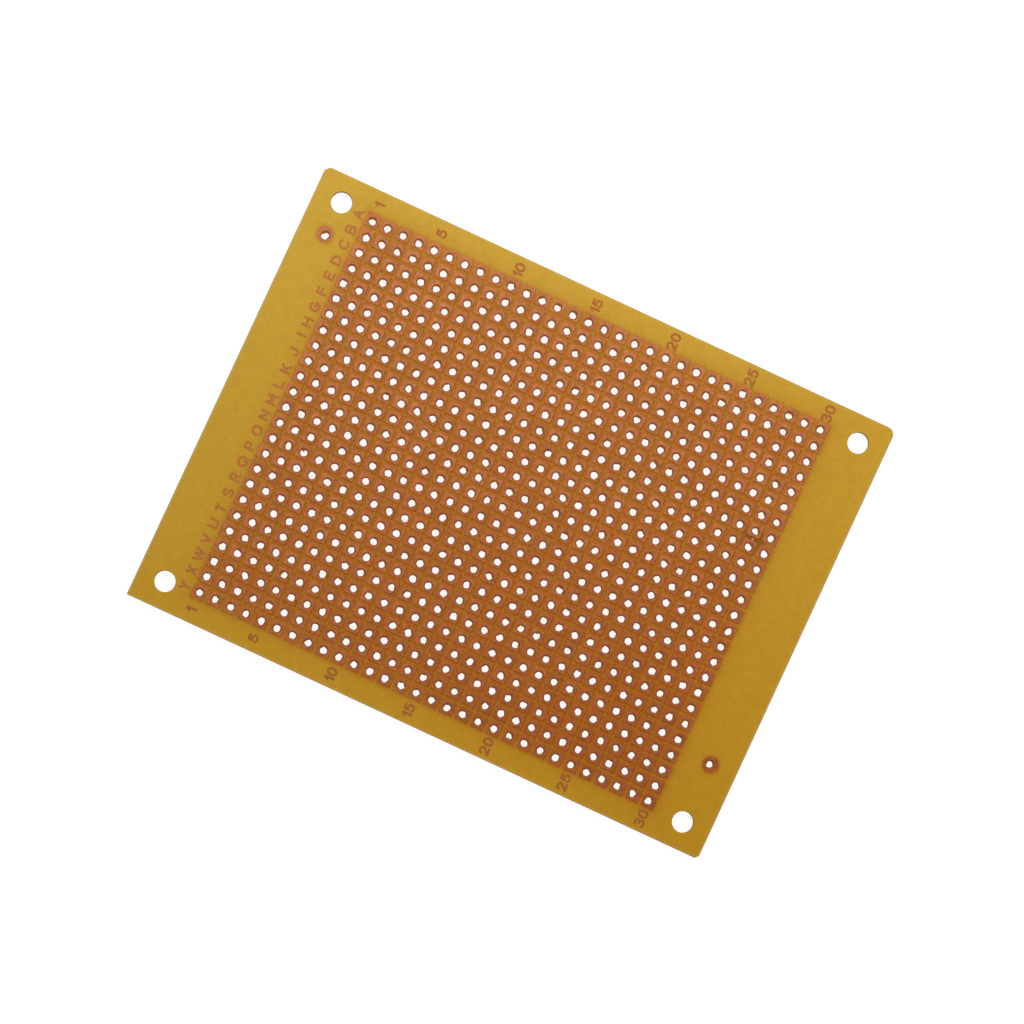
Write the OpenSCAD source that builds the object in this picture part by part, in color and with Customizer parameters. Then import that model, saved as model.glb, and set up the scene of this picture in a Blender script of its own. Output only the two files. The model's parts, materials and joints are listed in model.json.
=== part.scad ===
// Prototype board: a sheet of phenolic paper laminate, clad with copper foil on
// one side. The foil is etched away to leave a grid of square solder pads, each
// drilled for a component lead, and two round pads on the margins. The board
// lies copper side up, with its origin at the centre of the underside: columns
// run along +X, and rows run from A at +Y down to the last row at -Y.

/* [Board] */
// Length of the board, along the columns' count
board_length = 93.7; // [92:0.1:110]
// Width of the board, along the rows' count
board_width = 70.5; // [69:0.1:90]
// Thickness of the laminate under the foil
board_thickness = 1.6; // [0.8:0.1:3.2]

/* [Corners] */
// Legs of the small cut across the upper left corner
upper_left_cut = 0.7; // [0.1:0.1:2]
// Radius of the rounded upper right corner
upper_right_radius = 1.2; // [0.2:0.1:2]
// Legs of the small cut across the lower right corner
lower_right_cut = 0.5; // [0.1:0.1:2]

/* [Pad grid] */
// Distance from one lead hole to the next, both ways
pitch = 2.54; // [2.3:0.01:2.54]
// Number of columns of pads
columns = 30; // [2:1:30]
// Distance of the grid's centre from the board's centre, towards the first column
grid_offset = 0.2; // [0:0.1:0.5]
// Side of a square pad
pad_side = 2.03; // [1.8:0.01:2.15]
// Radius of a square pad's etched corners
pad_corner_radius = 0.2; // [0.05:0.01:0.4]
// Thickness of the copper foil
copper_thickness = 0.035; // [0.018:0.001:0.105]
// Distance that the etched pattern sits to the left of the drilled one
pattern_left = 0.05; // [0:0.01:0.1]
// Distance that the etched pattern sits above the drilled one
pattern_up = 0.1; // [0:0.01:0.15]
// Size of the etched pattern, as a share of the drilled one's
pattern_stretch = 1.0025; // [1:0.0005:1.003]

/* [Lead holes] */
// Diameter of a lead hole
lead_hole_diameter = 1.08; // [0.8:0.01:1.2]
// Side step of the drill, to and fro from one band of rows to the next
drill_step = 0.1; // [0:0.01:0.2]
// Number of rows drilled in one pass
rows_per_pass = 3; // [1:1:5]

/* [Round pads] */
// Diameter of a round pad
round_pad_diameter = 2.5; // [2:0.01:2.6]
// Distance of the round pads from the board's centre, along the columns' count
round_pad_x = 42.6; // [42:0.1:43]
// Distance of the upper left round pad above the board's centre
upper_pad_y = 25.7; // [24:0.1:27]
// Distance of the lower right round pad below the board's centre
lower_pad_y = 21.7; // [20:0.1:26]

/* [Mounting holes] */
// Diameter of a mounting hole
mounting_hole_diameter = 3.2; // [2.5:0.1:3.5]
// Distance between mounting holes along the board's length
mounting_spacing_x = 85; // [84:0.1:86]
// Distance between mounting holes along the board's width
mounting_spacing_y = 62.3; // [61:0.1:63.5]

/* [Hidden] */
$fn = 32;
ROW_LETTERS = "abcdefghijklmnopqrstuvwxy";
rows = len(ROW_LETTERS);
upper_left_pad = [-round_pad_x, upper_pad_y];
lower_right_pad = [round_pad_x, -lower_pad_y];
copper_colour = [0.67, 0.4, 0.25];
laminate_colour = [0.74, 0.57, 0.2];

// Crossing of a column and a row on the drilled grid, counting both from 0.
function crossing(column, row) = [
    (column - (columns - 1) / 2) * pitch - grid_offset,
    ((rows - 1) / 2 - row) * pitch
];

// Where the etched pattern puts what belongs at a point of the drilled one: the
// artwork was printed a little large, and a little to the left and above.
function etched(point) = point * pattern_stretch + [-pattern_left, pattern_up];

// Each pass of the drill takes a band of rows, and sits a little to one side of
// the pads. The first row is the last of its band, so the bands start above it.
function drill_shift(row) =
    floor((row + rows_per_pass - 1) / rows_per_pass) % 2 == 1 ? drill_step : -drill_step;

// Middle of the lead hole through a square pad.
function lead_hole_centre(column, row) = crossing(column, row) + [drill_shift(row), 0];

// Places its children at each mounting hole.
module at_mounting_holes() {
    for (x = [-1, 1], y = [-1, 1])
        translate([x * mounting_spacing_x / 2, y * mounting_spacing_y / 2]) children();
}

// Sheared outline of the board: a cut corner at the upper left and another at
// the lower right, a rounded one at the upper right and a sharp one at the lower left.
module board_outline() {
    right = board_length / 2;
    top = board_width / 2;
    difference() {
        polygon([
            [-right, -top],
            [right - lower_right_cut, -top],
            [right, -top + lower_right_cut],
            [right, top],
            [-right + upper_left_cut, top],
            [-right, top - upper_left_cut]
        ]);
        translate([right - upper_right_radius, top - upper_right_radius]) difference() {
            square(upper_right_radius * 1.5);
            circle(upper_right_radius);
        }
    }
}

// Square with round corners: a cross of two bars and a disc in each corner.
module pad_outline() {
    inner = pad_side - 2 * pad_corner_radius;
    square([pad_side, inner], center = true);
    square([inner, pad_side], center = true);
    for (x = [-1, 1], y = [-1, 1])
        translate([x * inner / 2, y * inner / 2]) circle(pad_corner_radius);
}

// The laminate: one flat sheet with every lead hole and mounting hole through it.
module laminate() {
    color(laminate_colour) linear_extrude(board_thickness) difference() {
        board_outline();
        at_mounting_holes() circle(d = mounting_hole_diameter);
        for (row = [0:rows - 1], column = [0:columns - 1])
            translate(lead_hole_centre(column, row)) circle(d = lead_hole_diameter);
        for (centre = [upper_left_pad, lower_right_pad])
            translate(centre) circle(d = lead_hole_diameter);
    }
}

// One lettered row of square pads, each a separate piece of foil. The pads run in
// straight columns, and the holes through them keep their drill's side step.
module pad_row(row) {
    color(copper_colour) translate([0, 0, board_thickness]) linear_extrude(copper_thickness)
        for (column = [0:columns - 1])
            difference() {
                translate(etched(crossing(column, row))) pad_outline();
                translate(lead_hole_centre(column, row)) circle(d = lead_hole_diameter);
            }
}

// A round pad of foil around the lead hole at the point given.
module round_pad(centre) {
    color(copper_colour) translate([0, 0, board_thickness]) linear_extrude(copper_thickness)
        difference() {
            translate(etched(centre)) circle(d = round_pad_diameter);
            translate(centre) circle(d = lead_hole_diameter);
        }
}

laminate();
for (row = [0:rows - 1])
    pad_row(row);
round_pad(upper_left_pad);  // round_pad_upper_left
round_pad(lower_right_pad);  // round_pad_lower_right
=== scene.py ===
"""Dresses a copper-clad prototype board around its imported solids.

The board is a sheet of phenolic paper laminate with 750 square pads and two
round pads of etched copper foil, index letters and numbers in the same foil,
a lead hole through every pad and four mounting holes. All shapes are worked
out in millimetres and put into their meshes in metres.
"""

import copy
import json
import math

import bpy
import numpy as np
from mathutils import Matrix, Vector
from mathutils.geometry import delaunay_2d_cdt


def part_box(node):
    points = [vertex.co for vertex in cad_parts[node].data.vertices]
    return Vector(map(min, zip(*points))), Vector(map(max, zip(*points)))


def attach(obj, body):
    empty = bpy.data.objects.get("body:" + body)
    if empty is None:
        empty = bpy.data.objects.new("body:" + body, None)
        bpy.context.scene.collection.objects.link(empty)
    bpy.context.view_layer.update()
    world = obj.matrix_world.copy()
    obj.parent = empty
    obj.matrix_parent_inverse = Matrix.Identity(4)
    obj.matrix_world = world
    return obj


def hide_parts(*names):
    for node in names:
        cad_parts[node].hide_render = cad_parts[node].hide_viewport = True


bl_info = {
    "name": "Prototype Board",
    "version": (1, 0, 0),
    "blender": (4, 5, 0),
    "location": "View3D > Sidebar > Board",
    "description": "Dresses a copper-clad prototype board in laminate, foil pads and index marks",
    "category": "Mesh",
}

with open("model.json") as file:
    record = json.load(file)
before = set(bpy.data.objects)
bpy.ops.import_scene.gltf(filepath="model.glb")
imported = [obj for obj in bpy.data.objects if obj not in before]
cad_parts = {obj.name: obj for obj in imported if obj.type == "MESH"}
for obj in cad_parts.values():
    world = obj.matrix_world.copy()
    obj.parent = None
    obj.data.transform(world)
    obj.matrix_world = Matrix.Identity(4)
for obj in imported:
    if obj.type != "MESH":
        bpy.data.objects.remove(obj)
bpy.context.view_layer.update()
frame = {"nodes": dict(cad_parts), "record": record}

# ---------------------------- board layout
# Millimetres, from the frame's boxes and mounts wherever it holds them.

MM = 0.001
MOUNTS = {mount["name"]: mount for mount in frame["record"]["mounts"]}
ROW_NODES = sorted(name for name in frame["nodes"] if name.startswith("pad_row_"))
ROUND_NODES = ["round_pad_upper_left", "round_pad_lower_right"]
MOUNTING_HOLES = [name for name in MOUNTS if name.startswith("mounting_hole_")]


def box_mm(node):
    """Lowest and highest corner of a CAD node, in millimetres."""
    low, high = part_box(node)
    return np.array(low) / MM, np.array(high) / MM


def crossings(xs, ys):
    """Where upright lines at xs cross level lines at ys, as [row, column, (x, y)]."""
    return np.stack(np.meshgrid(xs, ys), axis=-1)


# Pitch of the drilled grid, and how far the drill steps to one side or the other
# from one band of rows to the next.
PITCH = 2.54
DRILL_STEP = 0.1
ROWS_PER_PASS = 3

BOARD_LOW, BOARD_HIGH = box_mm("laminate")
ROW_BOXES = np.array([box_mm(node) for node in ROW_NODES])
BOARD_TOP = BOARD_HIGH[2]
FOIL = ROW_BOXES[0, 1, 2] - BOARD_TOP
PAD_SIDE = ROW_BOXES[0, 1, 1] - ROW_BOXES[0, 0, 1]
ROWS = len(ROW_NODES)
COLUMNS = 1 + round((ROW_BOXES[0, 1, 0] - ROW_BOXES[0, 0, 0] - PAD_SIDE) / PITCH)

HOLE_RADIUS = MOUNTS["lead_hole_a1"]["dims"]["r_mm"]
DRILL_SHIFT = np.where(
    (np.arange(ROWS) + ROWS_PER_PASS - 1) // ROWS_PER_PASS % 2 == 1, DRILL_STEP, -DRILL_STEP
)

# Crossings of the drilled grid, and the holes beside them.
FIRST_CROSSING = np.array(MOUNTS["lead_hole_a1"]["pos_m"][:2]) / MM - [DRILL_SHIFT[0], 0]
CROSSINGS = crossings(
    FIRST_CROSSING[0] + PITCH * np.arange(COLUMNS), FIRST_CROSSING[1] - PITCH * np.arange(ROWS)
)
HOLES = CROSSINGS + np.stack([DRILL_SHIFT, np.zeros(ROWS)], axis=-1)[:, None, :]

# The etched pattern is a little larger than the drilled one and a little aside.
FIRST_PAD, LAST_PAD = ROW_BOXES[0, 0, 0] + PAD_SIDE / 2, ROW_BOXES[0, 1, 0] - PAD_SIDE / 2
PAD_CENTRES = crossings(
    np.linspace(FIRST_PAD, LAST_PAD, COLUMNS), ROW_BOXES[:, :, 1].mean(axis=1)
)
ETCHED_PITCH = PAD_CENTRES[0, 1, 0] - PAD_CENTRES[0, 0, 0]
STRETCH = ETCHED_PITCH / PITCH
PATTERN_SHIFT = PAD_CENTRES[0, 0] - CROSSINGS[0, 0] * STRETCH

ROUND_BOXES = np.array([box_mm(node) for node in ROUND_NODES])
ROUND_CENTRES = ROUND_BOXES[:, :, :2].mean(axis=1)
ROUND_RADIUS = (ROUND_BOXES[0, 1, 0] - ROUND_BOXES[0, 0, 0]) / 2
ROUND_HOLES = (ROUND_CENTRES - PATTERN_SHIFT) / STRETCH

# Sides of a lead hole, and points on its matching ring round a pad or a cell.
SIDES = 16

# How far the punched holes stray, in millimetres: the heights of the waves of
# one to five lobes round an edge, the error of size and the loose fibre. The
# last holes, at the lower right, come out smaller and rougher than the first.
LOBE_HEIGHTS = np.array([0.04, 0.025, 0.02, 0.018, 0.016])
SIZE_ERROR = 0.018
LOOSE_FIBRE = 0.02
FIRST_EXCESS = 0.01
LAST_SHRINKAGE = 0.015
LAST_ROUGHNESS = 1.4
DEEPEST_STRAY = 0.15
WIDEST_STRAY = 0.1
SEED = 25

# Every lead hole's centre: row by row, and then those of the two round pads.
ALL_HOLES = np.concatenate([HOLES.reshape(-1, 2), ROUND_HOLES])


def hole_number(row_letter, column):
    """Place in ALL_HOLES of the hole in a lettered row and a numbered column."""
    return (ord(row_letter) - ord("A")) * COLUMNS + column - 1


# Burrs left in some holes: the hole, the way from its centre to the burr in
# degrees, how far it reaches in, in millimetres, and its width to either side in
# degrees. A negative reach is a tear.
BURRS = (
    (hole_number("B", 3), 45, 0.14, 30),
    (hole_number("O", 3), 115, 0.3, 22),
    (hole_number("W", 3), 215, 0.12, 40),
    (hole_number("W", 3), 35, 0.1, 40),
    (hole_number("X", 4), 140, 0.12, 30),
    (hole_number("Y", 21), 262, 0.46, 16),
    (hole_number("Y", 21), 180, 0.14, 25),
    (len(ALL_HOLES) - 2, 135, 0.1, 35),
    (len(ALL_HOLES) - 2, 205, -0.1, 35),
    (len(ALL_HOLES) - 1, 20, 0.08, 30),
)


# ---------------------------- settings


def setting(name, description, default, span, **kind):
    """A number that a user may change, and the least and most that it may be."""
    return bpy.props.FloatProperty(
        name=name, description=description, default=default, min=span[0], max=span[1], **kind
    )


def size_setting(name, description, default, span):
    """A size in millimetres that a user may change."""
    return setting(name, f"{description}, in millimetres", default, span, precision=4)


def colour_setting(name, description, default):
    """A colour that a user may change, as linear red, green and blue."""
    return bpy.props.FloatVectorProperty(
        name=name, description=description, default=default, subtype="COLOR", size=3, min=0, max=1
    )


class LaminateSettings(bpy.types.PropertyGroup):
    """Sizes and colours of the laminate sheet."""

    upper_left_cut: size_setting(
        "Upper left cut", "Legs of the cut across the upper left corner", 0.7, (0.1, 2)
    )
    upper_right_radius: size_setting(
        "Upper right radius", "Radius of the upper right corner", 1.2, (0.2, 2)
    )
    lower_right_cut: size_setting(
        "Lower right cut", "Legs of the cut across the lower right corner", 0.5, (0.1, 2)
    )
    edge_softness: size_setting(
        "Edge softness", "Width of the broken edge round the sheet and its mounting holes",
        0.06, (0.01, 0.2),
    )
    # Straw and amber carry painted light: the resin is yellower at the upper left, towards the lamp.
    straw: colour_setting(
        "Straw", "Colour of the resin at the sheet's upper left", (0.515, 0.31, 0.0345)
    )
    amber: colour_setting(
        "Amber", "Colour of the resin at the sheet's lower right", (0.515, 0.26, 0.013)
    )
    foil_shade: colour_setting(
        "Foil's shade", "What the resin's colour is multiplied by where foil keeps all light out",
        (0.58, 0.18, 0.15),
    )
    pale_rim: colour_setting(
        "Pale rim", "Colour of the bruised resin along the sheared edges", (0.56, 0.37, 0.10)
    )
    grime: colour_setting("Grime", "Colour of the smudge between two rows", (0.17, 0.065, 0.008))
    crumb: colour_setting("Crumb", "Colour of the crumb that sits in the smudge", (0.6, 0.28, 0.13))
    cut_fibre: colour_setting(
        "Cut fibre", "Colour of the sheared edges and of the mounting holes' walls",
        (0.46, 0.24, 0.05),
    )
    # Painted light: the lead holes' walls are pale and yellow for the light that shines through the
    # thin resin there.
    punched_fibre: colour_setting(
        "Punched fibre", "Colour of the walls of the lead holes, which the punch left paler",
        (0.75, 0.42, 0.08),
    )


class FoilSettings(bpy.types.PropertyGroup):
    """Sizes and colours of the copper foil."""

    dish_width: size_setting(
        "Dish width", "Width of the dish that the punch drew down round each lead hole",
        0.18, (0.02, 0.19),
    )
    dish_depth: size_setting(
        "Dish depth", "Depth of that dish at the hole's edge", 0.07, (0, 0.2)
    )
    corner_radius: size_setting(
        "Corner radius", "Radius of a square pad's etched corners", 0.2, (0.05, 0.4)
    )
    etched_slope: size_setting(
        "Etched slope", "Width of the sloping side that etching leaves round the foil",
        0.03, (0.01, 0.1),
    )
    copper: colour_setting("Copper", "Colour of the dull copper", (0.43, 0.142, 0.0495))
    # Reached both in tarnished patches and in the painted shade towards the lower right.
    tarnish: colour_setting(
        "Tarnish", "Colour of the browner patches on the copper", (0.355, 0.086, 0.022)
    )
    # Painted shade in the dish round each lead hole.
    burnt: colour_setting(
        "Burnt rim", "Colour of the dark rim round a lead hole", (0.247, 0.082, 0.003)
    )


class MarkSettings(bpy.types.PropertyGroup):
    """Sizes and colours of the index letters and numbers."""

    height: size_setting(
        "Height", "Height of a letter between the middles of its strokes", 1.32, (0.5, 2)
    )
    stroke: size_setting("Stroke", "Width of a stroke", 0.36, (0.1, 0.5))
    spread: setting(
        "Spread", "How much wider the letters and numbers are drawn than their plain form",
        1.08, (0.8, 1.3), subtype="FACTOR",
    )
    step: size_setting(
        "Step", "How much lower each further stroke of a mark lies", 0.002, (0.0005, 0.004)
    )
    baseline: size_setting(
        "Letters' baseline", "Distance of the letters' baseline from the first column",
        1.7, (1.5, 3),
    )
    upper_gap: size_setting(
        "Upper numbers' distance", "Distance of the upper numbers' middle from the first row",
        2.58, (2, 4),
    )
    lower_gap: size_setting(
        "Lower numbers' distance", "Distance of the lower numbers' middle from the last row",
        2.8, (2, 4),
    )
    letter_foil: colour_setting("Letters' foil", "Colour of the letters", (0.40, 0.137, 0.029))
    number_foil: colour_setting("Numbers' foil", "Colour of the numbers", (0.347, 0.107, 0.021))


class StageSettings(bpy.types.PropertyGroup):
    """The camera and the light."""

    camera_height: setting(
        "Camera height", "Height of the camera over the board",
        1.15, (0.2, 3), subtype="DISTANCE", unit="LENGTH",
    )
    view_width: setting(
        "View width", "Width of the picture at the board",
        0.1526, (0.1, 0.4), subtype="DISTANCE", unit="LENGTH",
    )
    key_power: setting(
        "Key power", "Power of the lamp above the board's far edge",
        0.49, (0, 100), subtype="POWER", unit="POWER",
    )
    sky: setting("Sky", "Strength of the even light from all round", 0.46, (0, 2))


# ---------------------------- mesh helpers


def ring_bands(rings):
    """Quads between neighbouring rings of vertex numbers, given as [..., ring, side].

    A quad joins side k and side k + 1 of one ring to the same sides of the next.
    Where the rings run anticlockwise and the profile through them keeps the
    solid on its right, seen along the ring, the quads face outwards.
    """
    here, there = rings[..., :-1, :], rings[..., 1:, :]
    quads = np.stack(
        [here, there, np.roll(there, -1, axis=-1), np.roll(here, -1, axis=-1)], axis=-1
    )
    return quads.reshape(-1, 4)


def circle_points(centres, radii, sides=SIDES):
    """Points at even angles round each centre: centre + radius * (cos, sin)."""
    angle = np.arange(sides) * 2 * math.pi / sides
    unit = np.stack([np.cos(angle), np.sin(angle)], axis=-1)
    return np.asarray(centres)[..., None, :] + np.asarray(radii)[..., None] * unit


def rounded_square(side, radius):
    """Square with round corners in 16 points: in each quarter turn, the middle of
    a side and the start, middle and end of the corner's arc."""
    half, inner, slant = side / 2, side / 2 - radius, radius * math.sqrt(0.5)
    quarter = np.array([(half, 0), (half, inner), (inner + slant, inner + slant), (inner, half)])
    turns = [np.array([[c, s], [-s, c]]) for c, s in ((1, 0), (0, 1), (-1, 0), (0, -1))]
    return np.concatenate([quarter @ turn for turn in turns])


def inset(outline, distance):
    """A convex anticlockwise outline with every side moved inwards by a distance:
    each corner slides along its bisector by distance / cos(half its turn)."""
    along = np.roll(outline, -1, axis=0) - outline
    along /= np.linalg.norm(along, axis=1, keepdims=True)
    inward = np.stack([-along[:, 1], along[:, 0]], axis=1)
    bisector = inward + np.roll(inward, 1, axis=0)
    return outline + distance * 2 * bisector / (bisector**2).sum(axis=1, keepdims=True)


def fill_between(points, loops):
    """Anticlockwise triangles, by vertex number, that fill an outline round its holes.

    loops holds the outline and then the holes, all of them convex. The triangles
    are those of a Delaunay triangulation that keeps to the loops' edges, without
    the ones whose three corners lie on one hole.
    """
    numbers = np.concatenate(loops)
    lengths = [len(loop) for loop in loops]
    loop_of = np.repeat(np.arange(len(loops)), lengths)
    parts = np.split(np.arange(len(numbers)), np.cumsum(lengths)[:-1])
    sides = np.concatenate([np.stack([part, np.roll(part, -1)], axis=1) for part in parts])
    flat = [Vector(point) for point in points[numbers, :2]]
    inside_constraints, same_point = 1, 1e-6
    made = delaunay_2d_cdt(flat, sides.tolist(), [], inside_constraints, same_point)
    if len(made[0]) != len(numbers):
        raise RuntimeError("the loops of the flat margin cross")
    triangles = np.array(made[2])
    own = loop_of[triangles]
    in_hole = (own[:, 0] > 0) & (own == own[:, :1]).all(axis=1)
    return numbers[triangles[~in_hole]]


def at_height(points, height):
    """Flat points lifted to a height, which may be one number or one for each point."""
    height = np.broadcast_to(height, points.shape[:-1])
    return np.concatenate([points, height[..., None]], axis=-1)


def new_object(name, data):
    """An object in the scene that holds a mesh, a lamp or a camera."""
    made = bpy.data.objects.new(name, data)
    bpy.context.scene.collection.objects.link(made)
    return made


def new_piece(name, points, faces, materials, sharp=None, values=None, coats=None):
    """A mesh object at the origin, riding on the board.

    points are millimetres; faces holds index arrays, each of faces with equally
    many corners; sharp is a function of the edges' vertex numbers; values holds a
    number for every vertex under each name; coats holds each face's material.
    """
    mesh = bpy.data.meshes.new(name)
    corners = [face for part in faces for face in part.tolist()]
    mesh.from_pydata(points * MM, [], corners, shade_flat=False)
    if sharp is not None:
        ends = np.zeros(len(mesh.edges) * 2, np.int32)
        mesh.edges.foreach_get("vertices", ends)
        marks = mesh.attributes.new("sharp_edge", "BOOLEAN", "EDGE")
        marks.data.foreach_set("value", sharp(ends.reshape(-1, 2)))
    for key, numbers in (values or {}).items():
        attribute = mesh.attributes.new(key, "FLOAT", "POINT")
        attribute.data.foreach_set("value", np.asarray(numbers, np.float32))
    if mesh.validate():
        raise RuntimeError(f"{name} had faces that Blender had to mend")
    for material in materials:
        mesh.materials.append(material)
    if coats is not None:
        mesh.polygons.foreach_set("material_index", coats.astype(np.int32))
    piece = new_object(name, mesh)
    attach(piece, "root")
    return piece


# ---------------------------- lead holes


def ragged_radii(seed):
    """Radius of the lead holes' edges at each of their sides, as [hole, side].

    To the nominal radius come the hole's error of size, waves of one to five
    lobes round it with chance heights and phases, and loose fibre at each side.
    They grow, and the radius shrinks, evenly along the board's diagonal. A burr
    takes its reach times exp(-(turn / width) squared) off the radius.
    """
    rng = np.random.default_rng(seed)
    count = len(ALL_HOLES)
    diagonal = ALL_HOLES[:, :1] - ALL_HOLES[:, 1:]
    worn = (diagonal - diagonal.min()) / np.ptp(diagonal)
    roughness = 1 + (LAST_ROUGHNESS - 1) * worn
    nominal = HOLE_RADIUS + FIRST_EXCESS - (FIRST_EXCESS + LAST_SHRINKAGE) * worn
    angle = np.arange(SIDES) * 2 * math.pi / SIDES
    lobes = 1 + np.arange(len(LOBE_HEIGHTS))[:, None]
    height = rng.normal(0, LOBE_HEIGHTS[:, None], (count, len(lobes), 1))
    phase = rng.uniform(0, 2 * math.pi, (count, len(lobes), 1))
    waves = (height * np.cos(lobes * angle + phase)).sum(axis=1)
    size = rng.normal(0, SIZE_ERROR, (count, 1))
    fibre = rng.normal(0, LOOSE_FIBRE, (count, SIDES))
    radii = nominal + (size + waves + fibre) * roughness
    radii = np.clip(radii, HOLE_RADIUS - DEEPEST_STRAY, HOLE_RADIUS + WIDEST_STRAY)
    for hole, way, reach, width in BURRS:
        turn = (angle - math.radians(way) + math.pi) % (2 * math.pi) - math.pi
        radii[hole] -= reach * np.exp(-((turn / math.radians(width)) ** 2))
    return radii


def lead_hole_rings(foil):
    """Points of every lead hole's edge under the foil, of its edge on the bare
    side, and of the crest of its dish, each as [hole, side, (x, y)]."""
    lips = circle_points(ALL_HOLES, ragged_radii(SEED))
    breaks = circle_points(ALL_HOLES, ragged_radii(SEED + 1))
    crest = np.full((len(ALL_HOLES), SIDES), HOLE_RADIUS + foil.dish_width)
    return lips, breaks, circle_points(ALL_HOLES, crest)


# ---------------------------- laminate

# Places of the sheet's finishes among its materials.
SKIN, CUT_FIBRE, BACKLIT_HOLE_WALLS = range(3)

MOUNTING_HOLE_SIDES = 48


def board_outline(cut_upper_left, radius_upper_right, cut_lower_right, arc_steps=10):
    """Anticlockwise outline: sharp lower left, cut lower right, an arc at the
    upper right (centre + radius * (cos, sin) over a quarter turn), cut upper left."""
    (left, low), (right, high) = BOARD_LOW[:2], BOARD_HIGH[:2]
    turn = np.linspace(0, math.pi / 2, arc_steps)
    arc = np.stack([np.cos(turn), np.sin(turn)], axis=1) * radius_upper_right
    return np.concatenate([
        [(left, low), (right - cut_lower_right, low), (right, low + cut_lower_right)],
        np.array([right, high]) - radius_upper_right + arc,
        [(left + cut_upper_left, high), (left, high - cut_upper_left)],
    ])


def cell_lattice():
    """The corners and quarter points of the square cells round the lead holes.

    Returns the used lattice points, the lattice numbers of each cell's boundary
    points as [row, column, side], and those round the whole field. The boundary
    is walked from the middle of the cell's right side: each way, the steps are a
    triangle wave that is cut off at the cell's sides.
    """
    per_cell = SIDES // 4
    across, up = per_cell * COLUMNS + 1, per_cell * ROWS + 1
    start = CROSSINGS[-1, 0] - PITCH / 2
    column, row = np.meshgrid(np.arange(across), np.arange(up))
    used = (column % per_cell == 0) | (row % per_cell == 0)
    number = np.cumsum(used).reshape(used.shape) - 1
    points = start + np.stack([column, row], axis=-1)[used] * PITCH / per_cell
    step_x = np.clip(abs(np.arange(SIDES) - SIDES // 2) - per_cell // 2, 0, per_cell)
    step_y = np.roll(step_x, per_cell)
    corner_x = per_cell * np.arange(COLUMNS)[None, :, None]
    corner_y = per_cell * np.arange(ROWS - 1, -1, -1)[:, None, None]
    cells = number[corner_y + step_y, corner_x + step_x]
    field = np.concatenate(
        [number[0, :-1], number[:-1, -1], number[-1, :0:-1], number[:0:-1, 0]]
    )
    return points, cells, field


class SheetPoints:
    """The laminate's points in the making, block by block.

    A creased block has a ring number of its own, and the others have 0. An edge
    along a ring is a crease: both its ends have the same number, above 0.
    """

    def __init__(self):
        self.blocks = []
        self.rings = []
        self.count = 0

    def add(self, flat, height, creased=True):
        """Adds flat points, [..., (x, y)], at a height, and returns their vertex numbers."""
        numbers = self.count + np.arange(flat[..., 0].size).reshape(flat.shape[:-1])
        self.count += numbers.size
        self.blocks.append(at_height(flat, height).reshape(-1, 3))
        self.rings.append(np.full(numbers.size, len(self.blocks) if creased else 0))
        return numbers

    def add_wall(self, rim, wall, heights):
        """The four rings of a cut wall with broken edges: rim, wall, wall and rim."""
        return [self.add(*ring) for ring in zip((rim, wall, wall, rim), heights)]


def laminate_mesh(settings, foil):
    """Points, faces, ring numbers and the faces' coats of the whole sheet.

    Each lead hole's cell is a closed profile carried round the hole: in along
    the underside, up the hole's wall, out over the dish and on to the cell's
    boundary. The sheet's edge and the mounting holes are cut walls. The margin
    between them and the cells is filled flat, round the round pads' holes too.
    """
    sheet = SheetPoints()
    lattice, cells, field = cell_lattice()
    cells = cells.reshape(-1, SIDES)
    in_field, apart = slice(len(cells)), slice(len(cells), None)
    lips, breaks, crests = lead_hole_rings(foil)
    top = sheet.add(lattice, BOARD_TOP, creased=False)
    bottom = sheet.add(lattice, 0, creased=False)
    borders = sheet.add(crests[apart], 0, creased=False)
    breaks = sheet.add(breaks, 0)
    lips = sheet.add(lips, BOARD_TOP - foil.dish_depth)
    crests = sheet.add(crests, BOARD_TOP)

    soft = settings.edge_softness
    heights = [BOARD_TOP, BOARD_TOP - soft, soft, 0]
    outline = board_outline(
        settings.upper_left_cut, settings.upper_right_radius, settings.lower_right_cut
    )
    edge = sheet.add_wall(inset(outline, soft), outline, heights)
    bores = []
    for name in MOUNTING_HOLES:
        centre = np.array(MOUNTS[name]["pos_m"][:2]) / MM
        radius = MOUNTS[name]["dims"]["r_mm"]
        rim = circle_points(centre, radius + soft, MOUNTING_HOLE_SIDES)
        wall = circle_points(centre, radius, MOUNTING_HOLE_SIDES)
        bores.append(sheet.add_wall(rim, wall, heights[::-1]))

    points = np.concatenate(sheet.blocks)
    top_loops = [edge[0], top[field], *crests[apart], *(bore[-1] for bore in bores)]
    bottom_loops = [edge[-1], bottom[field], *borders, *(bore[0] for bore in bores)]
    skin = [
        ring_bands(np.stack(pair, axis=-2))
        for pair in (
            (bottom[cells], breaks[in_field]), (borders, breaks[apart]),
            (lips, crests), (crests[in_field], top[cells]),
        )
    ]
    cut = [ring_bands(np.stack(wall)) for wall in (edge, *bores)]
    punched = [ring_bands(np.stack([breaks, lips], axis=-2))]
    fills = [fill_between(points, top_loops), fill_between(points, bottom_loops)[:, ::-1]]
    faces = [np.concatenate(part) for part in (skin, cut, punched, fills)]
    coats = np.repeat([SKIN, CUT_FIBRE, BACKLIT_HOLE_WALLS, SKIN], [len(part) for part in faces])
    return points, faces, np.concatenate(sheet.rings), coats


# ---------------------------- foil


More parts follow.
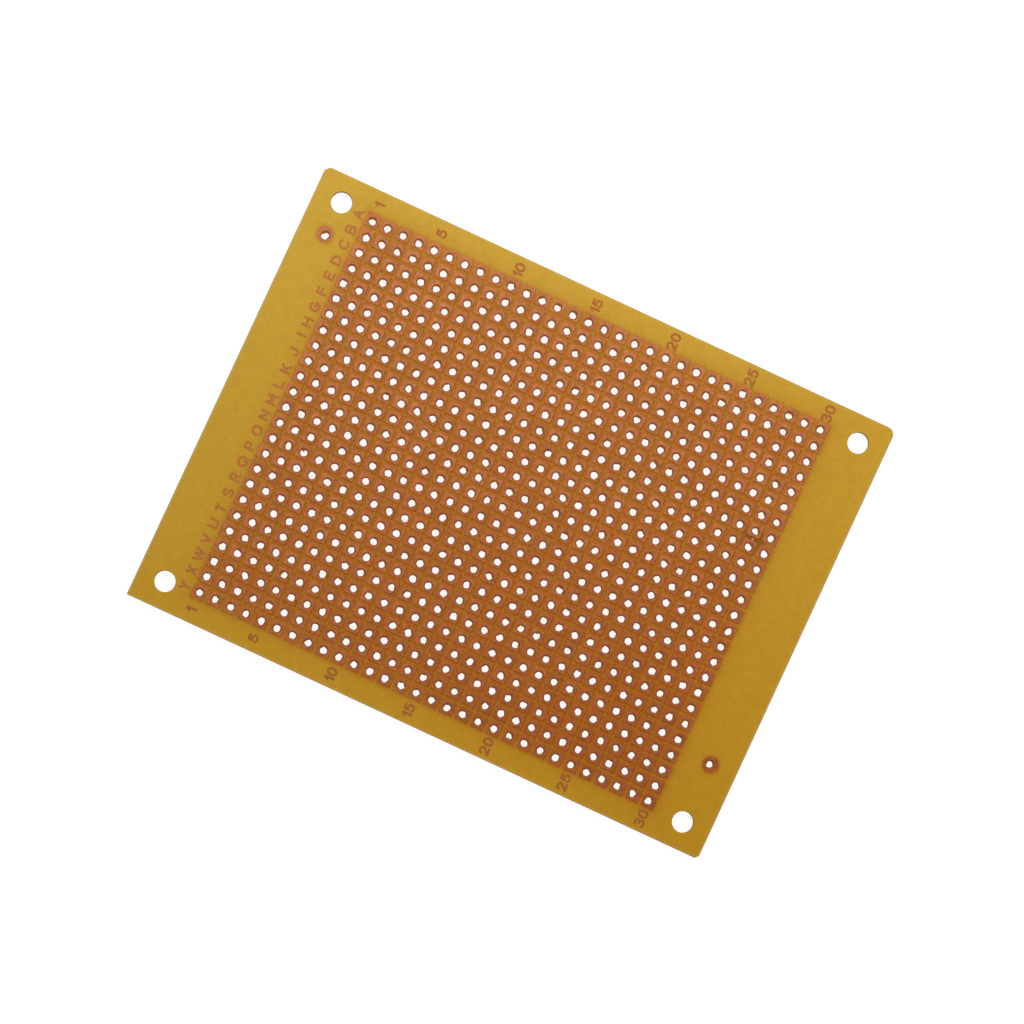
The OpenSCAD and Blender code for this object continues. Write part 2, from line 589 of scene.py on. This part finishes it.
def pad_mesh(centres, lips, crests, outline, foil):
    """Points, quads and values of several pads, one for each centre.

    A pad is a closed profile carried round its hole: from the hole's edge up the
    dish, flat to the etched outline, down its sloping side, and back under the
    foil to where it began.
    """
    inner = outline * (1 - foil.etched_slope / np.abs(outline).max())
    edge = centres[:, None, :]
    profile = np.stack([
        at_height(lips, BOARD_TOP - foil.dish_depth),
        at_height(crests, BOARD_TOP + FOIL),
        at_height(edge + inner, BOARD_TOP + FOIL),
        at_height(edge + outline, BOARD_TOP),
    ], axis=1)
    numbers = np.arange(profile[..., 0].size).reshape(profile.shape[:-1])
    closed = np.concatenate([numbers, numbers[:, :1]], axis=1)
    return profile.reshape(-1, 3), ring_bands(closed), numbers


def foil_piece(name, node, centres, lips, crests, outline, foil, tones, material):
    """A mesh of foil pads that stands for a CAD node."""
    points, quads, numbers = pad_mesh(centres, lips, crests, outline, foil)
    tone = np.broadcast_to(tones[:, None, None], numbers.shape).ravel()
    ring = np.broadcast_to(np.arange(numbers.shape[1])[None, :, None], numbers.shape).ravel()
    piece = new_piece(
        name, points, [quads], [material],
        sharp=lambda ends: ring[ends[:, 0]] == ring[ends[:, 1]],
        values={"tone": tone},
    )
    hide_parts(node)


# ---------------------------- index marks


def arc(x, y, across, up, start, end, steps=14):
    """Points of an ellipse's arc: (x, y) + (across * cos, up * sin), in degrees."""
    turn = np.radians(np.linspace(start, end, steps))
    return np.stack([x + across * np.cos(turn), y + up * np.sin(turn)], axis=1)


def line(*points):
    """The straight strokes that join the points one after another."""
    return [np.array(pair, float) for pair in zip(points, points[1:])]


# Strokes of each letter and number, on a body one unit high from its baseline.
GLYPHS = {
    "A": [*line((0, 0), (0.38, 1), (0.76, 0)), *line((0.13, 0.32), (0.63, 0.32))],
    "B": [*line((0.4, 0), (0, 0), (0, 1), (0.4, 1)), *line((0, 0.53), (0.45, 0.53)),
          arc(0.4, 0.765, 0.27, 0.235, -90, 90), arc(0.45, 0.265, 0.3, 0.265, -90, 90)],
    "C": [arc(0.45, 0.5, 0.45, 0.5, 48, 312)],
    "D": [*line((0.32, 0), (0, 0), (0, 1), (0.32, 1)), arc(0.32, 0.5, 0.46, 0.5, -90, 90)],
    "E": [*line((0.62, 1), (0, 1), (0, 0), (0.64, 0)), *line((0, 0.53), (0.54, 0.53))],
    "F": [*line((0.58, 1), (0, 1), (0, 0)), *line((0, 0.53), (0.5, 0.53))],
    "G": [arc(0.46, 0.5, 0.46, 0.5, 48, 330), *line((0.88, 0.2), (0.88, 0.46), (0.5, 0.46))],
    "H": [*line((0, 0), (0, 1)), *line((0.76, 0), (0.76, 1)), *line((0, 0.53), (0.76, 0.53))],
    "I": [*line((0.62, 0), (0.62, 1))],
    "J": [*line((0.9, 1), (0.9, 0.26)), arc(0.63, 0.26, 0.27, 0.26, 0, -180)],
    "K": [*line((0, 0), (0, 1)), *line((0.64, 1), (0, 0.38)), *line((0.24, 0.62), (0.7, 0))],
    "L": [*line((0, 1), (0, 0), (0.58, 0))],
    "M": [*line((0, 0), (0, 1), (0.42, 0.3), (0.84, 1), (0.84, 0))],
    "N": [*line((0, 0), (0, 1), (0.78, 0), (0.78, 1))],
    "O": [arc(0.46, 0.5, 0.46, 0.5, 0, 360, 26)],
    "P": [*line((0.36, 1), (0, 1)), *line((0, 0), (0, 1)), *line((0, 0.46), (0.36, 0.46)),
          arc(0.36, 0.73, 0.27, 0.27, -90, 90)],
    "Q": [arc(0.46, 0.5, 0.46, 0.5, 0, 360, 26), *line((0.56, 0.26), (0.9, -0.04))],
    "R": [*line((0.38, 1), (0, 1)), *line((0, 0), (0, 1)), *line((0, 0.48), (0.38, 0.48)),
          arc(0.38, 0.74, 0.27, 0.26, -90, 90), *line((0.34, 0.48), (0.66, 0))],
    "S": [arc(0.36, 0.75, 0.33, 0.25, 25, 270), arc(0.36, 0.25, 0.36, 0.25, 90, -155)],
    "T": [*line((0, 1), (0.66, 1)), *line((0.33, 1), (0.33, 0))],
    "U": [*line((0, 1), (0, 0.36)), arc(0.4, 0.36, 0.4, 0.36, 180, 360), *line((0.8, 0.36), (0.8, 1))],
    "V": [*line((0, 1), (0.37, 0), (0.74, 1))],
    "W": [*line((0, 1), (0.3, 0), (0.6, 1), (0.9, 0), (1.2, 1))],
    "X": [*line((0, 0), (0.66, 1)), *line((0, 1), (0.66, 0))],
    "Y": [*line((0, 1), (0.33, 0.5), (0.66, 1)), *line((0.33, 0.5), (0.33, 0))],
    "0": [arc(0.34, 0.5, 0.34, 0.5, 0, 360, 24)],
    "1": [*line((0, 0.72), (0.24, 1), (0.24, 0))],
    "2": [arc(0.32, 0.7, 0.32, 0.3, 165, -35), *line((0.58, 0.53), (0, 0), (0.66, 0))],
    "3": [arc(0.32, 0.76, 0.29, 0.24, 150, -90), arc(0.32, 0.27, 0.33, 0.27, 90, -155)],
    "5": [*line((0.58, 1), (0.14, 1), (0.07, 0.53)), arc(0.31, 0.33, 0.33, 0.33, 135, -150)],
}
GLYPH_GAP = 0.32

# How far the sections of a stroke's round end lie past the path, in half widths,
# the least share of a section that stays flat, and how deep a mark's foot goes
# into the resin, in millimetres.
ROUND_END = np.array([0.5, 0.87, 0.99])
LEAST_FLAT = 0.3
FOOT_DEPTH = 0.01


def stroke_mesh(path, width, slope, height):
    """Points and quads of one stroke, closed to a ring or with round ends.

    A flat-topped section with sloping sides is carried along the path. Over the
    last half width at each end the section narrows by the circle's formula,
    sqrt(1 - t * t), while the path runs on by t half widths.
    """
    ring = np.allclose(path[0], path[-1])
    if ring:
        ahead = np.gradient(np.concatenate([path[-2:-1], path, path[1:2]]), axis=0)[1:-1]
    else:
        ahead = np.gradient(path, axis=0)
    ahead /= np.linalg.norm(ahead, axis=1, keepdims=True)
    share = np.ones(len(path))
    if not ring:
        reach = ROUND_END[:, None] * width / 2
        before = path[0] - ahead[0] * reach[::-1]
        beyond = path[-1] + ahead[-1] * reach
        path = np.concatenate([before, path, beyond])
        ahead = np.pad(ahead, ((len(reach), len(reach)), (0, 0)), mode="edge")
        narrowed = np.sqrt(1 - ROUND_END**2)
        share = np.concatenate([narrowed[::-1], share, narrowed])
    half = share * width / 2
    flat = np.maximum(half - slope, half * LEAST_FLAT)
    aside = np.stack([ahead[:, 1], -ahead[:, 0]], axis=1)
    offsets = np.stack([half, flat, -flat, -half], axis=1)
    section = path[:, None, :] + offsets[..., None] * aside[:, None, :]
    sunk, raised = BOARD_TOP - FOOT_DEPTH, BOARD_TOP + height
    points = at_height(section, np.array([sunk, raised, raised, sunk]))
    numbers = np.arange(offsets.size).reshape(offsets.shape)
    if ring:
        numbers[-1] = numbers[0]
        return points[:-1].reshape(-1, 3), ring_bands(numbers)
    ends = np.stack([numbers[0], numbers[-1][::-1]])
    return points.reshape(-1, 3), np.concatenate([ring_bands(numbers), ends])


def mark_strokes(text, settings, start):
    """The strokes of a text that reads along +Y, with its letters' heads towards
    -X and the middle of its baseline at start."""
    strokes, pen = [], 0.0
    for sign in text:
        strokes += [path + [pen, 0] for path in GLYPHS[sign]]
        pen += max(path[:, 0].max() for path in GLYPHS[sign]) + GLYPH_GAP
    middle = (pen - GLYPH_GAP) / 2
    run, rise = settings.height * settings.spread, settings.height
    return [
        np.stack([start[0] - path[:, 1] * rise, start[1] + (path[:, 0] - middle) * run], 1)
        for path in strokes
    ]


def marks_piece(name, texts, settings, slope, material):
    """One piece with all the strokes of several (text, point) pairs."""
    points, quads, count = [], [], 0
    for text, start in texts:
        for k, path in enumerate(mark_strokes(text, settings, start)):
            height = FOIL - k * settings.step
            block, faces = stroke_mesh(path, settings.stroke, slope, height)
            points.append(block)
            quads.append(faces + count)
            count += len(block)
    return new_piece(
        name, np.concatenate(points), [np.concatenate(quads)], [material],
        sharp=lambda ends: np.ones(len(ends), bool),
    )


# ---------------------------- materials

# The colour inputs and the colour output among a Mix node's sockets.
MIX_FIRST, MIX_SECOND, MIX_RESULT = 6, 7, 2


def feed(tree, socket, value):
    """Puts a number, a colour or vector, a Term or a node's output on a socket."""
    if isinstance(value, Term):
        value = value.output
    if isinstance(value, bpy.types.NodeSocket):
        tree.links.new(value, socket)
    elif socket.type == "RGBA":
        socket.default_value = (*value, 1.0)
    else:
        socket.default_value = value


def new_node(tree, kind, inputs, **options):
    """A node with its options set and its inputs, by name or number, fed."""
    node = tree.nodes.new(kind)
    for key, value in options.items():
        setattr(node, key, value)
    for key, value in inputs.items():
        feed(tree, node.inputs[key], value)
    return node


class Term:
    """A number in a material, held as a node's output, for use in plain sums."""

    def __init__(self, tree, output):
        self.tree = tree
        self.output = output

    def joined(self, operation, *others):
        """A Math node that takes this number first and the others after it."""
        inputs = dict(enumerate((self, *others)))
        node = new_node(self.tree, "ShaderNodeMath", inputs, operation=operation)
        return Term(self.tree, node.outputs[0])

    def __add__(self, other):
        return self.joined("ADD", other)

    def __sub__(self, other):
        return self.joined("SUBTRACT", other)

    def __mul__(self, other):
        return self.joined("MULTIPLY", other)

    def __truediv__(self, other):
        return self.joined("DIVIDE", other)

    def __abs__(self):
        return self.joined("ABSOLUTE")

    def __neg__(self):
        return self.joined("MULTIPLY", -1.0)

    def floor(self):
        """The whole number at or below this one."""
        return self.joined("FLOOR")

    def modulo(self, other):
        """What is left of this number over whole times the other, never negative."""
        return self.joined("FLOORED_MODULO", other)

    def at_least(self, other):
        """The larger of this number and the other."""
        return self.joined("MAXIMUM", other)

    def at_most(self, other):
        """The smaller of this number and the other."""
        return self.joined("MINIMUM", other)

    def hypot(self, other):
        """Length of the vector whose sides are this number and the other."""
        return (self * self + other * other).joined("SQRT")

    def falling(self, scale):
        """exp(-number / scale)."""
        return (self * (-1.0 / scale)).joined("EXPONENT")

    def between(self, start, end):
        """Smooth step from 0 at start to 1 at end."""
        inputs = {"Value": self, "From Min": start, "From Max": end}
        step = new_node(self.tree, "ShaderNodeMapRange", inputs, interpolation_type="SMOOTHSTEP")
        return Term(self.tree, step.outputs["Result"])


class Finish:
    """A material in the making: its tree, its shader and the point being shaded."""

    def __init__(self, name):
        self.material = bpy.data.materials.new(name)
        self.material.use_nodes = True
        self.tree = self.material.node_tree
        self.shader = self.tree.nodes["Principled BSDF"]
        place = self.tree.nodes.new("ShaderNodeTexCoord").outputs["Object"]
        self.point = self.brighten(place, 1 / MM)
        parts = new_node(self.tree, "ShaderNodeSeparateXYZ", {0: self.point})
        self.x, self.y, self.z = (Term(self.tree, output) for output in parts.outputs)

    def moved(self, x, y):
        """The same finish, read as if the point lay x and y millimetres back."""
        other = copy.copy(self)
        other.x, other.y = self.x - x, self.y - y
        return other

    def noise(self, size, detail=2.0, roughness=0.5, stretch=(1, 1, 1)):
        """Soft noise about 0.5 whose blots are about size millimetres across."""
        scale = [s / size for s in stretch]
        mapping = new_node(self.tree, "ShaderNodeMapping", {"Vector": self.point, "Scale": scale})
        inputs = {"Vector": mapping.outputs[0], "Scale": 1.0, "Detail": detail, "Roughness": roughness}
        return Term(self.tree, new_node(self.tree, "ShaderNodeTexNoise", inputs).outputs["Fac"])

    def uneven(self, level, swing, size, detail=2.0, roughness=0.5, stretch=(1, 1, 1)):
        """A number that noise carries about a level: level + swing * (noise - 0.5)."""
        return self.noise(size, detail, roughness, stretch) * swing + (level - swing / 2)

    def slope(self, right, down):
        """A number that grows by right and by down over each millimetre that way."""
        return self.x * right - self.y * down

    def attribute(self, name):
        """The number that the mesh's points hold under a name."""
        node = new_node(self.tree, "ShaderNodeAttribute", {}, attribute_name=name)
        return Term(self.tree, node.outputs["Fac"])

    def mix(self, first, second, share, blend="MIX"):
        """Colours blended by a share. A colour is a triple or a node's output."""
        inputs = {"Factor": share, MIX_FIRST: first, MIX_SECOND: second}
        node = new_node(self.tree, "ShaderNodeMix", inputs, data_type="RGBA", blend_type=blend)
        return node.outputs[MIX_RESULT]

    def brighten(self, colour, amount):
        """A colour or vector, a triple or a node's output, times a number."""
        inputs = {0: colour, "Scale": amount}
        return new_node(self.tree, "ShaderNodeVectorMath", inputs, operation="SCALE").outputs[0]

    def set(self, socket, value):
        """Puts a number, a Term or a colour's output on one of the shader's sockets."""
        feed(self.tree, self.shader.inputs[socket], value)

    def bump(self, height, depth):
        """Bump whose height runs from 0 to 1 over a depth in millimetres."""
        inputs = {"Strength": 1.0, "Distance": depth * MM, "Height": height}
        self.set("Normal", new_node(self.tree, "ShaderNodeBump", inputs).outputs[0])


# Foil keeps light out of the resin. In millimetres, how far aslant the light comes
# in, towards the lower right, and the reach of the shade beside a pad and round
# the whole field, each with its strength.
LIGHT_SLANT = 0.07
PAD_SHADE_REACH, PAD_SHADE = 0.26, 0.4
FIELD_SHADE_REACH, FIELD_SHADE = 1.5, 0.46

# In millimetres: the width of the pale rim inside the sheared edges, the smudge's
# middle, how ragged it is, and the distances between which it and its crumb fade.
PALE_RIM = 0.5
SMUDGE = (34.25, 11.45)
SMUDGE_RAGGEDNESS = 3.0
SMUDGE_FADE = (2.6, 0.8)
CRUMB_FADE = (0.22, 0.1)

# The copper: how much browner its painted shade makes it towards the lower right
# corner, for each square millimetre; how much painted light brightens a pad for each
# millimetre to its upper side and to its left, and at most; how much whole pads
# differ; the width and the depth of a pad's darker edge; and where the painted
# shade round a lead hole fades.
CORNER_SHADE = 0.00016
BRIGHTER_UP, BRIGHTER_LEFT, BRIGHTEST = 0.012, 0.03, 0.04
TONE_RANGE = 0.16
DARKER_EDGE, EDGE_DARKENING = 0.12, 0.03
HOLE_SHADE_FADE = (0.86, 0.62)


def nearest_cell(finish):
    """Column and row of the pad nearest to the point: the point's own, rounded
    and kept within the field."""
    first = PAD_CENTRES[0, 0]
    column = ((finish.x - first[0]) / ETCHED_PITCH + 0.5).floor()
    row = ((-finish.y + first[1]) / ETCHED_PITCH + 0.5).floor()
    return column.at_least(0).at_most(COLUMNS - 1), row.at_least(0).at_most(ROWS - 1)


def pad_offset(finish):
    """The point's offset in millimetres from the centre of the nearest square pad."""
    column, row = nearest_cell(finish)
    first = PAD_CENTRES[0, 0]
    return (
        finish.x - (column * ETCHED_PITCH + first[0]),
        finish.y + (row * ETCHED_PITCH - first[1]),
    )


def hole_distance(finish):
    """Distance in millimetres from the point to the centre of the nearest lead
    hole. The drill's step turns over from one band of rows to the next."""
    column, row = nearest_cell(finish)
    band = ((row + (ROWS_PER_PASS - 1)) / ROWS_PER_PASS).floor()
    step = (band.modulo(2) * 2 - 1) * DRILL_STEP
    across = finish.x - (column * PITCH + step + FIRST_CROSSING[0])
    up = finish.y + (row * PITCH - FIRST_CROSSING[1])
    distance = across.hypot(up)
    for x, y in ROUND_HOLES:
        distance = distance.at_most((finish.x - x).hypot(finish.y - y))
    return distance


def foil_distance(finish):
    """Distance in millimetres from the point to the nearest square or round pad.

    From a square it is the sum of what is left of the offset past the half
    side, each way, so that the crossings between four pads are the farthest.
    """
    across, up = pad_offset(finish)
    half = PAD_SIDE / 2
    distance = (abs(across) - half).at_least(0) + (abs(up) - half).at_least(0)
    for x, y in ROUND_CENTRES:
        gap = (finish.x - x).hypot(finish.y - y) - ROUND_RADIUS
        distance = distance.at_most(gap.at_least(0))
    return distance


def field_shade(finish, reach):
    """How much light the whole field of pads keeps out of the sheet, 0 to 1.

    It falls as exp(-distance / reach) outside the field's rectangle, from a
    half at the border, and rises in the same way inside it.
    """
    low = PAD_CENTRES[-1, 0] - PAD_SIDE / 2
    high = PAD_CENTRES[0, -1] + PAD_SIDE / 2
    middle, half = (low + high) / 2, (high - low) / 2
    across = abs(finish.x - middle[0]) - half[0]
    up = abs(finish.y - middle[1]) - half[1]
    outside = across.at_least(0).hypot(up.at_least(0))
    inside = -across.at_least(up).at_most(0)
    return (outside.falling(reach) - inside.falling(reach) + 1) * 0.5


def laminate_finish(settings):
    """Phenolic paper laminate: yellow resin, more amber to the lower right and yellower
    towards the upper left by painted light, with a fine paper mottle and a paler rim
    along the sheared edges.

    Foil keeps light out of the sheet, which turns it brown beside each pad. The
    light comes in aslant, so this shade lies a little to the pads' lower right.
    A brown smudge with a pale crumb in it lies between two rows near the right.
    """
    finish = Finish("phenolic_laminate")
    on_top = finish.z / BOARD_TOP
    # Painted light: the resin is yellower towards the upper left, towards the lamp, and more amber to
    # the lower right; the broad noise is tone that differs at random.
    painted_light_and_tone = finish.slope(right=0.0057, down=0.0092) + finish.uneven(0.498, 0.24, size=18, detail=1)
    colour = finish.mix(settings.straw, settings.amber, painted_light_and_tone.between(-0.15, 1.15))
    past_edge = (abs(finish.x) - BOARD_HIGH[0]).at_least(abs(finish.y) - BOARD_HIGH[1])
    colour = finish.mix(colour, settings.pale_rim, past_edge.between(-PALE_RIM, 0) * 0.5)

    beside = foil_distance(finish.moved(LIGHT_SLANT, -LIGHT_SLANT)).falling(PAD_SHADE_REACH)
    shade = field_shade(finish, FIELD_SHADE_REACH) * FIELD_SHADE + beside * on_top * PAD_SHADE
    shade = shade * finish.uneven(1, 1.1, size=0.35, detail=3, roughness=0.7)
    colour = finish.mix(colour, settings.foil_shade, shade.at_most(1), "MULTIPLY")
    mottle = finish.uneven(1, 0.24, size=1.6, detail=4, roughness=0.6)
    colour = finish.brighten(colour, mottle + finish.uneven(0, 0.32, size=0.22))

    away = (finish.x - SMUDGE[0]).hypot(finish.y - SMUDGE[1])
    ragged = finish.uneven(0, SMUDGE_RAGGEDNESS, size=0.9, detail=3, roughness=0.6)
    blot = (away + ragged).between(*SMUDGE_FADE) * on_top
    speck = away.between(*CRUMB_FADE) * on_top
    colour = finish.mix(colour, settings.grime, blot * 0.8)
    colour = finish.mix(colour, settings.crumb, speck * 0.9)

    finish.set("Base Color", colour)
    finish.set("Roughness", finish.uneven(0.42, 0.12, size=0.6))
    finish.set("Specular IOR Level", 0.08)
    finish.bump(finish.noise(size=0.35, detail=3, roughness=0.6), depth=0.01)
    return finish.material


def cut_finish(name, colour):
    """Dull cut fibre, streaked through the sheet's thickness and in thin layers."""
    finish = Finish(name)
    streaks = finish.uneven(1, 0.9, size=0.3, detail=3, roughness=0.6, stretch=(1, 1, 0.2))
    layers = finish.uneven(1, 0.4, size=0.25, stretch=(0.1, 0.1, 1))
    finish.set("Base Color", finish.brighten(colour, streaks * layers))
    finish.set("Roughness", 0.95)
    finish.set("Specular IOR Level", 0.0)
    return finish.material


def dull_metal(finish, colour):
    """Puts a colour on the shader as rough, half dull copper with fine scratches."""
    finish.set("Base Color", colour)
    finish.set("Metallic", 0.15)
    finish.set("Specular IOR Level", 0.2)
    finish.set("Roughness", finish.uneven(0.55, 0.2, size=0.3))
    finish.bump(finish.noise(size=0.15, detail=3, roughness=0.6), depth=0.006)
    return finish.material


def copper_finish(settings):
    """Dull copper foil: pink at the upper left and, by painted shade, browner to the
    lower right, most of all in that corner, with tarnished patches and a mottle all
    over. Painted light makes each pad a little brighter to its upper left and darker
    to its right; it is a little darker along the pads' edges, and painted shade
    turns it dark brown close round each hole."""
    finish = Finish("copper_foil")
    patches = finish.uneven(0.42, 2, size=0.8, detail=4, roughness=0.65)
    # Painted shade browns the copper towards the lower right, most of all in that corner; the noise
    # adds tarnished patches.
    tarnish_and_painted_shade = finish.slope(right=0.0068, down=0.0126) + patches
    tarnish_and_painted_shade = tarnish_and_painted_shade - finish.x * finish.y * CORNER_SHADE
    colour = finish.mix(settings.copper, settings.tarnish, tarnish_and_painted_shade.at_least(0).at_most(1))

    across, up = pad_offset(finish)
    # Each pad is a little darker along its edges.
    edge = abs(across).at_least(abs(up)).between(PAD_SIDE / 2 - DARKER_EDGE, PAD_SIDE / 2)
    # Painted light: each pad is brighter to its upper side and to its left, towards the lamp.
    painted_light = (up * BRIGHTER_UP - across * BRIGHTER_LEFT).at_least(-BRIGHTEST).at_most(BRIGHTEST)
    grain = finish.uneven(0.45, 0.9, size=0.12)
    grain = grain + finish.uneven(0.47, 1.1, size=0.6, detail=3, roughness=0.65)
    tone = finish.attribute("tone") * TONE_RANGE
    colour = finish.brighten(colour, grain + painted_light + tone - edge * EDGE_DARKENING)

    # Painted shade: the dish round each lead hole turns dark brown near the hole.
    from_hole = hole_distance(finish) + finish.uneven(0, 0.12, size=0.2)
    colour = finish.mix(colour, settings.burnt, from_hole.between(*HOLE_SHADE_FADE) * 0.9)
    return dull_metal(finish, colour)


def mark_finish(name, colour):
    """Foil of the index marks, which is unevenly etched."""
    finish = Finish(name)
    grain = finish.uneven(0.5, 0.5, size=0.12) + finish.uneven(0.5, 0.5, size=0.6)
    return dull_metal(finish, finish.brighten(colour, grain))


# ---------------------------- stage

# The floor: its half width and how far it lies under the board, in metres, its
# grey, and how strongly it glows.
FLOOR_REACH, FLOOR_DROP = 2, 2e-5
FLOOR_GREY, FLOOR_GLOW = 0.25, 0.9

# The lamp: its width and how far it stands up and aside, in metres, and the way
# to it in degrees.
KEY_SIZE, KEY_DISTANCE, KEY_WAY = 0.16, 0.17, 101

# The camera: the way along the board that is up in its picture, in degrees, how
# far aside of the board's middle it stands and how near it sees, in metres.
PICTURE_UP = 114.91
CAMERA_ASIDE = (-0.014, -0.047)
NEAREST_SEEN = 0.01


def background_rays(tree):
    """1 for rays that see the white background, directly, mirrored or through glass."""
    path = tree.nodes.new("ShaderNodeLightPath")
    kinds = ("Camera", "Glossy", "Transmission")
    camera, glossy, through = (Term(tree, path.outputs[f"Is {kind} Ray"]) for kind in kinds)
    return camera.at_least(glossy).at_least(through)


def floor_finish():
    """Pale floor. Seen straight on it glows white, and it still takes shadows."""
    material = bpy.data.materials.new("pale_floor")
    material.use_nodes = True
    tree = material.node_tree
    shader = tree.nodes["Principled BSDF"]
    feed(tree, shader.inputs["Base Color"], (FLOOR_GREY, FLOOR_GREY, FLOOR_GREY))
    feed(tree, shader.inputs["Roughness"], 0.9)
    feed(tree, shader.inputs["Emission Color"], (1, 1, 1))
    feed(tree, shader.inputs["Emission Strength"], background_rays(tree) * FLOOR_GLOW)
    return material


# ---------------------------- operators


class BOARD_OT_laminate(bpy.types.Operator):
    """Makes the laminate sheet with its dished lead holes"""

    bl_idname = "board.laminate"
    bl_label = "Laminate sheet"

    def execute(self, context):
        settings, foil = context.scene.board_laminate, context.scene.board_foil
        points, faces, rings, coats = laminate_mesh(settings, foil)
        sheet = new_piece(
            "laminate_sheet", points, faces,
            [
                laminate_finish(settings),
                cut_finish("cut_fibre", settings.cut_fibre),
                cut_finish("punched_fibre", settings.punched_fibre),
            ],
            sharp=lambda ends: (rings[ends[:, 0]] == rings[ends[:, 1]]) & (rings[ends[:, 0]] > 0),
            coats=coats,
        )
        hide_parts("laminate")
        return {"FINISHED"}


class BOARD_OT_pads(bpy.types.Operator):
    """Makes the square pads, a row to a piece, and the two round pads"""

    bl_idname = "board.pads"
    bl_label = "Copper pads"

    def execute(self, context):
        foil = context.scene.board_foil
        material = copper_finish(foil)
        rng = np.random.default_rng(SEED + 1)
        lips, _, crests = lead_hole_rings(foil)
        square = rounded_square(PAD_SIDE, foil.corner_radius)
        disc = circle_points((0, 0), ROUND_RADIUS)
        centres = [*PAD_CENTRES, *ROUND_CENTRES[:, None]]
        outlines = [square] * ROWS + [disc] * len(ROUND_CENTRES)
        first = 0
        for node, centre, outline in zip(ROW_NODES + ROUND_NODES, centres, outlines):
            own = slice(first, first + len(centre))
            foil_piece(
                f"foil_{node}", node, centre, lips[own], crests[own],
                outline, foil, rng.random(len(centre)), material,
            )
            first = own.stop
        return {"FINISHED"}


class BOARD_OT_marks(bpy.types.Operator):
    """Makes the index letters beside the rows and the numbers over and under the columns"""

    bl_idname = "board.marks"
    bl_label = "Index marks"

    def execute(self, context):
        marks, slope = context.scene.board_marks, context.scene.board_foil.etched_slope
        column_x = PAD_CENTRES[0, :, 0]
        row_y = PAD_CENTRES[:, 0, 1]
        letters = [
            (node[-1].upper(), (column_x[0] - marks.baseline, row_y[row]))
            for row, node in enumerate(ROW_NODES)
        ]
        letter_foil = mark_finish("letter_foil", marks.letter_foil)
        marks_piece("row_letters", letters, marks, slope, letter_foil)

        number_foil = mark_finish("number_foil", marks.number_foil)
        numbered = (1, *range(5, COLUMNS + 1, 5))
        sides = {"upper": row_y[0] + marks.upper_gap, "lower": row_y[-1] - marks.lower_gap}
        for side, y in sides.items():
            numbers = [(str(n), (column_x[n - 1] + marks.height / 2, y)) for n in numbered]
            marks_piece(f"{side}_column_numbers", numbers, marks, slope, number_foil)
        return {"FINISHED"}


class BOARD_OT_stage(bpy.types.Operator):
    """Lays the floor and sets the lamp, the sky and the camera"""

    bl_idname = "board.stage"
    bl_label = "Stage"

    def execute(self, context):
        scene, settings = context.scene, context.scene.board_stage
        middle = Vector((0, 0, BOARD_TOP * MM))

        mesh = bpy.data.meshes.new("floor")
        square = ((-1, -1), (1, -1), (1, 1), (-1, 1))
        corners = [(x * FLOOR_REACH, y * FLOOR_REACH, -FLOOR_DROP) for x, y in square]
        mesh.from_pydata(corners, [], [(0, 1, 2, 3)])
        mesh.materials.append(floor_finish())
        new_object("floor", mesh)

        key = new_object("key", bpy.data.lights.new("key", "AREA"))
        key.data.shape = "SQUARE"
        key.data.size = KEY_SIZE
        key.data.energy = settings.key_power
        way = math.radians(KEY_WAY)
        key.location = middle + Vector((math.cos(way), math.sin(way), 1)) * KEY_DISTANCE
        key.rotation_euler = (middle - key.location).to_track_quat("-Z", "Y").to_euler()

        scene.world = bpy.data.worlds.new("sky")
        scene.world.use_nodes = True
        tree = scene.world.node_tree
        background = tree.nodes["Background"]
        sky = background_rays(tree) * (1 - settings.sky) + settings.sky
        feed(tree, background.inputs["Color"], (1, 1, 1))
        feed(tree, background.inputs["Strength"], sky)

        camera = new_object("camera", bpy.data.cameras.new("camera"))
        offset = Vector((*CAMERA_ASIDE, settings.camera_height))
        camera.location = middle + offset
        camera.data.lens = camera.data.sensor_width * offset.length / settings.view_width
        ahead = -offset.normalized()
        up = math.radians(PICTURE_UP)
        right = ahead.cross(Vector((math.cos(up), math.sin(up), 0))).normalized()
        camera.rotation_euler = Matrix((right, right.cross(ahead), -ahead)).transposed().to_euler()
        camera.data.clip_start = NEAREST_SEEN
        scene.camera = camera
        scene.view_settings.view_transform = "Standard"
        return {"FINISHED"}


class BOARD_PT_panel(bpy.types.Panel):
    """Lists the steps that dress the board"""

    bl_label = "Prototype Board"
    bl_idname = "BOARD_PT_panel"
    bl_space_type = "VIEW_3D"
    bl_region_type = "UI"
    bl_category = "Board"

    def draw(self, context):
        for operator in STEPS:
            self.layout.operator(operator.bl_idname)


STEPS = (BOARD_OT_laminate, BOARD_OT_pads, BOARD_OT_marks, BOARD_OT_stage)
GROUPS = {
    "board_laminate": LaminateSettings,
    "board_foil": FoilSettings,
    "board_marks": MarkSettings,
    "board_stage": StageSettings,
}


def register():
    """Registers the classes and hangs the settings on the scene."""
    for cls in (*GROUPS.values(), *STEPS, BOARD_PT_panel):
        bpy.utils.register_class(cls)
    for name, group in GROUPS.items():
        setattr(bpy.types.Scene, name, bpy.props.PointerProperty(type=group))


def unregister():
    """Takes away what register added."""
    for name in GROUPS:
        delattr(bpy.types.Scene, name)
    for cls in (BOARD_PT_panel, *reversed(STEPS), *reversed(GROUPS.values())):
        bpy.utils.unregister_class(cls)


def main():
    """Dresses the board step by step."""
    register()
    bpy.ops.board.laminate()
    bpy.ops.board.pads()
    bpy.ops.board.marks()
    bpy.ops.board.stage()


if __name__ == "__main__":
    main()
